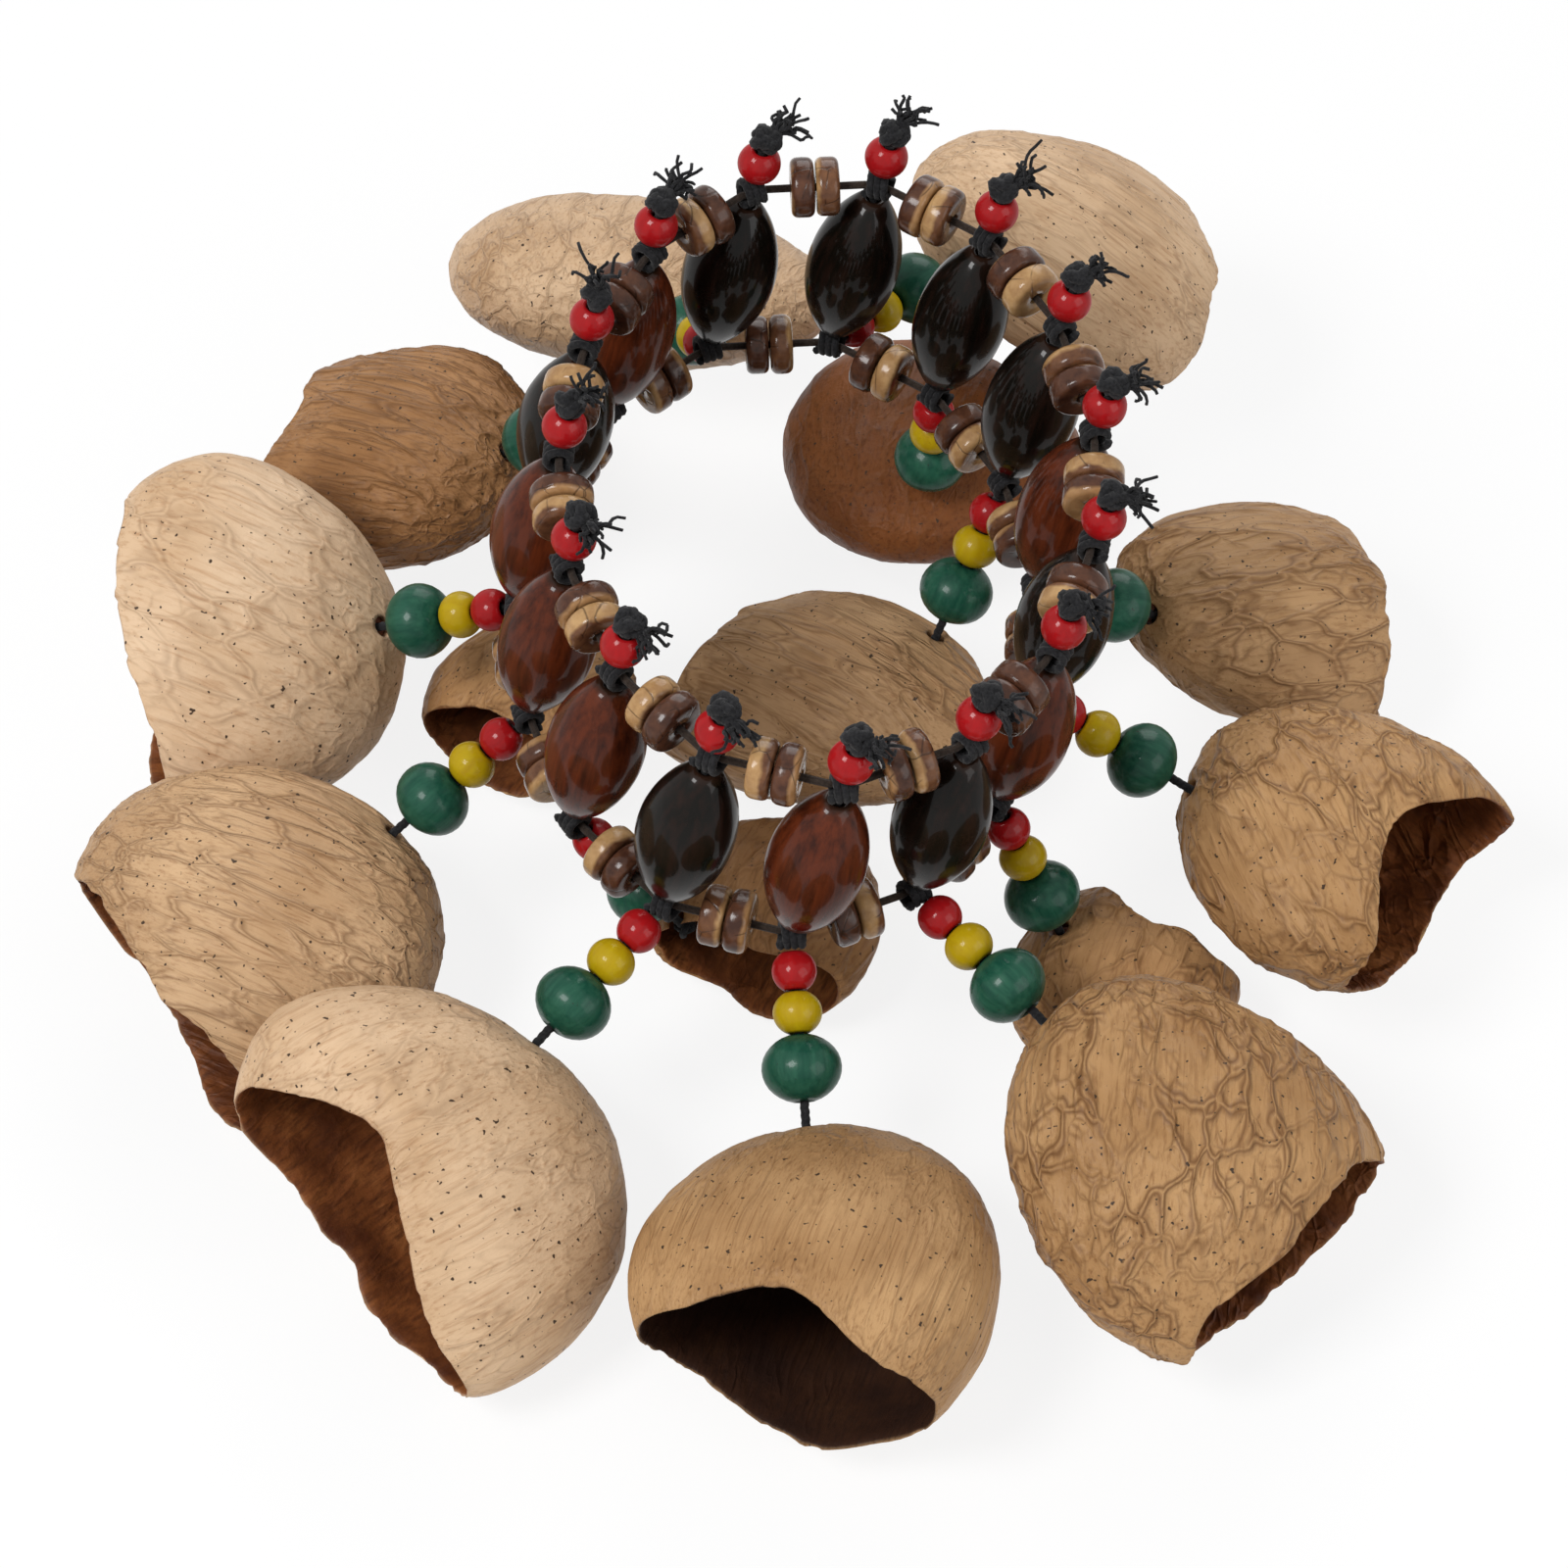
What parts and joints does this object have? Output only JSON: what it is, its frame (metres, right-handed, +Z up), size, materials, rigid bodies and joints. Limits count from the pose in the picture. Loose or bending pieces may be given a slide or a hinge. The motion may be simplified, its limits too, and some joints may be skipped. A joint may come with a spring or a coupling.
{
  "type": "nutshell shaker bracelet",
  "caption": "Beaded elastic bracelet with hollow nutshells hung on short bead strands that swing and knock together to rattle when shaken.",
  "frame": {"origin": "on the table, under the middle of the bracelet's overall box as it lies", "axes": "+Z up; +Y to the back, where the band is highest; +X to the right, the way the band's beads lean"},
  "size_m": [0.1882, 0.2058, 0.0892],
  "materials": {
    "elastic": "matte cord",
    "dark_coconut": "varnished coconut shell",
    "pale_coconut": "varnished coconut shell",
    "black_seed": "glossy varnished seed",
    "brown_seed": "glossy varnished seed",
    "red_bead": "glossy painted wood",
    "strand_bead": "painted and stained wood",
    "black_thread": "twisted cotton",
    "nutshell": "bare veined nutshell"
  },
  "bodies": {
    "band": {"upper_elastic": "elastic", "lower_elastic": "elastic", "upper_dark_discs": "dark_coconut", "upper_pale_discs": "pale_coconut", "lower_dark_discs": "dark_coconut", "lower_pale_discs": "pale_coconut", "black_spindles": "black_seed", "brown_spindles": "brown_seed", "top_red_beads": "red_bead", "station_threads": "black_thread", "top_knots": "black_thread"},
    "strand_01": {"strand_thread_01": "black_thread", "strand_beads_01": "strand_bead"},
    "shell_01": {"nutshell_01": "nutshell"},
    "strand_02": {"strand_thread_02": "black_thread", "strand_beads_02": "strand_bead"},
    "shell_02": {"nutshell_02": "nutshell"},
    "strand_03": {"strand_thread_03": "black_thread", "strand_beads_03": "strand_bead"},
    "shell_03": {"nutshell_03": "nutshell"},
    "strand_04": {"strand_thread_04": "black_thread", "strand_beads_04": "strand_bead"},
    "shell_04": {"nutshell_04": "nutshell"},
    "strand_05": {"strand_thread_05": "black_thread", "strand_beads_05": "strand_bead"},
    "shell_05": {"nutshell_05": "nutshell"},
    "strand_06": {"strand_thread_06": "black_thread", "strand_beads_06": "strand_bead"},
    "shell_06": {"nutshell_06": "nutshell"},
    "strand_07": {"strand_thread_07": "black_thread", "strand_beads_07": "strand_bead"},
    "shell_07": {"nutshell_07": "nutshell"},
    "strand_08": {"strand_thread_08": "black_thread", "strand_beads_08": "strand_bead"},
    "shell_08": {"nutshell_08": "nutshell"},
    "strand_09": {"strand_thread_09": "black_thread", "strand_beads_09": "strand_bead"},
    "shell_09": {"nutshell_09": "nutshell"},
    "strand_10": {"strand_thread_10": "black_thread", "strand_beads_10": "strand_bead"},
    "shell_10": {"nutshell_10": "nutshell"},
    "strand_11": {"strand_thread_11": "black_thread", "strand_beads_11": "strand_bead"},
    "shell_11": {"nutshell_11": "nutshell"},
    "strand_12": {"strand_thread_12": "black_thread", "strand_beads_12": "strand_bead"},
    "shell_12": {"nutshell_12": "nutshell"},
    "strand_13": {"strand_thread_13": "black_thread", "strand_beads_13": "strand_bead"},
    "shell_13": {"nutshell_13": "nutshell"},
    "strand_14": {"strand_thread_14": "black_thread", "strand_beads_14": "strand_bead"},
    "shell_14": {"nutshell_14": "nutshell"},
    "strand_15": {"strand_thread_15": "black_thread", "strand_beads_15": "strand_bead"},
    "shell_15": {"nutshell_15": "nutshell"}
  },
  "joints": [
    {"name": "strand_01_swing", "type": "hinge", "parent": "band", "child": "strand_01", "pos_m": [0.00435, 0.04726, 0.04765], "axis": [0.0616, 0.0616, 0.9962], "range_deg": [-12, 14]},
    {"name": "nutshell_01_spin", "type": "hinge", "parent": "strand_01", "child": "shell_01", "pos_m": [0.02009, 0.063, 0.0457], "axis": [0.7044, 0.7044, -0.0872], "range_deg": [-40, 8]},
    {"name": "strand_02_swing", "type": "hinge", "parent": "band", "child": "strand_02", "pos_m": [-0.01179, 0.04631, 0.04748], "axis": [0.9848, 0.1736, 0], "range_deg": [-4, 20.5]},
    {"name": "nutshell_02_spin", "type": "hinge", "parent": "strand_02", "child": "shell_02", "pos_m": [-0.01497, 0.06434, 0.03466], "axis": [-0.1422, 0.8067, -0.5736], "range_deg": [-8, 4]},
    {"name": "strand_03_swing", "type": "hinge", "parent": "band", "child": "strand_03", "pos_m": [-0.02473, 0.03657, 0.04576], "axis": [0.5, 0.866, 0], "range_deg": [-7, 35]},
    {"name": "nutshell_03_spin", "type": "hinge", "parent": "strand_03", "child": "shell_03", "pos_m": [-0.03842, 0.04447, 0.02996], "axis": [-0.6124, 0.3536, -0.7071], "range_deg": [-16, 40]},
    {"name": "strand_04_swing", "type": "hinge", "parent": "band", "child": "strand_04", "pos_m": [-0.03252, 0.02237, 0.04326], "axis": [-0.9397, 0.342, 0], "range_deg": [-12, 5]},
    {"name": "nutshell_04_spin", "type": "hinge", "parent": "strand_04", "child": "shell_04", "pos_m": [-0.03385, 0.01873, 0.02125], "axis": [-0.0594, -0.1632, -0.9848], "range_deg": [-2, 40]},
    {"name": "strand_05_swing", "type": "hinge", "parent": "band", "child": "strand_05", "pos_m": [-0.0355, 0.00648, 0.04045], "axis": [0.342, 0.9397, 0], "range_deg": [-5, 40]},
    {"name": "nutshell_05_spin", "type": "hinge", "parent": "strand_05", "child": "shell_05", "pos_m": [-0.05368, 0.0131, 0.02928], "axis": [-0.8138, 0.2962, -0.5], "range_deg": [-22, 22]},
    {"name": "strand_06_swing", "type": "hinge", "parent": "band", "child": "strand_06", "pos_m": [-0.03397, -0.00962, 0.03762], "axis": [-0.4226, 0.9063, 0], "range_deg": [0, 14]},
    {"name": "nutshell_06_spin", "type": "hinge", "parent": "strand_06", "child": "shell_06", "pos_m": [-0.05055, -0.01735, 0.0248], "axis": [-0.7424, -0.3462, -0.5736], "range_deg": [-40, 0]},
    {"name": "strand_07_swing", "type": "hinge", "parent": "band", "child": "strand_07", "pos_m": [-0.02776, -0.02457, 0.03498], "axis": [0.0872, -0.9962, 0], "range_deg": [-30, 0]},
    {"name": "nutshell_07_spin", "type": "hinge", "parent": "strand_07", "child": "shell_07", "pos_m": [-0.01663, -0.02359, 0.01563], "axis": [0.4981, 0.0436, -0.866], "range_deg": [-40, 40]},
    {"name": "strand_08_swing", "type": "hinge", "parent": "band", "child": "strand_08", "pos_m": [-0.01644, -0.03616, 0.03294], "axis": [-0.7071, 0.7071, 0], "range_deg": [-10, 35]},
    {"name": "nutshell_08_spin", "type": "hinge", "parent": "strand_08", "child": "shell_08", "pos_m": [-0.03129, -0.051, 0.0253], "axis": [-0.6645, -0.6645, -0.342], "range_deg": [-40, 13]},
    {"name": "strand_09_swing", "type": "hinge", "parent": "band", "child": "strand_09", "pos_m": [-0.0008, -0.04031, 0.0322], "axis": [-0.9962, -0.0872, 0], "range_deg": [-5, 35]},
    {"name": "nutshell_09_spin", "type": "hinge", "parent": "strand_09", "child": "shell_09", "pos_m": [0.00089, -0.05959, 0.02103], "axis": [0.0755, -0.8627, -0.5], "range_deg": [-40, 6]},
    {"name": "strand_10_swing", "type": "hinge", "parent": "band", "child": "strand_10", "pos_m": [0.01429, -0.03445, 0.03324], "axis": [-0.7071, -0.7071, 0], "range_deg": [-5, 13]},
    {"name": "nutshell_10_spin", "type": "hinge", "parent": "strand_10", "child": "shell_10", "pos_m": [0.02955, -0.04972, 0.02745], "axis": [0.683, -0.683, -0.2588], "range_deg": [-40, 40]},
    {"name": "strand_11_swing", "type": "hinge", "parent": "band", "child": "strand_11", "pos_m": [0.02466, -0.02201, 0.03543], "axis": [-0.4226, -0.9063, 0], "range_deg": [-30, 0]},
    {"name": "nutshell_11_spin", "type": "hinge", "parent": "strand_11", "child": "shell_11", "pos_m": [0.03322, -0.026, 0.01518], "axis": [0.383, -0.1786, -0.9063], "range_deg": [-40, 40]},
    {"name": "strand_12_swing", "type": "hinge", "parent": "band", "child": "strand_12", "pos_m": [0.02998, -0.00673, 0.03813], "axis": [-0.2588, -0.9659, 0], "range_deg": [0, 22]},
    {"name": "nutshell_12_spin", "type": "hinge", "parent": "strand_12", "child": "shell_12", "pos_m": [0.04867, -0.01174, 0.02695], "axis": [0.8365, -0.2241, -0.5], "range_deg": [-40, 8]},
    {"name": "strand_13_swing", "type": "hinge", "parent": "band", "child": "strand_13", "pos_m": [0.03069, 0.00942, 0.04097], "axis": [0.5, -0.866, 0], "range_deg": [-24, 35]},
    {"name": "nutshell_13_spin", "type": "hinge", "parent": "strand_13", "child": "shell_13", "pos_m": [0.04552, 0.01798, 0.02661], "axis": [0.6634, 0.383, -0.6428], "range_deg": [-32, 40]},
    {"name": "strand_14_swing", "type": "hinge", "parent": "band", "child": "strand_14", "pos_m": [0.02687, 0.02514, 0.04374], "axis": [-0.7071, 0.7071, 0], "range_deg": [-5, 0]},
    {"name": "nutshell_14_spin", "type": "hinge", "parent": "strand_14", "child": "shell_14", "pos_m": [0.01897, 0.01724, 0.0244], "axis": [-0.3536, -0.3536, -0.866], "range_deg": [-1, 40]},
    {"name": "strand_15_swing", "type": "hinge", "parent": "band", "child": "strand_15", "pos_m": [0.01816, 0.03879, 0.04615], "axis": [1, 0, 0], "range_deg": [-5, 1.5]},
    {"name": "nutshell_15_spin", "type": "hinge", "parent": "strand_15", "child": "shell_15", "pos_m": [0.01816, 0.04457, 0.02457], "axis": [0, 0.2588, -0.9659], "range_deg": [-16, 25.5]}
  ]
}
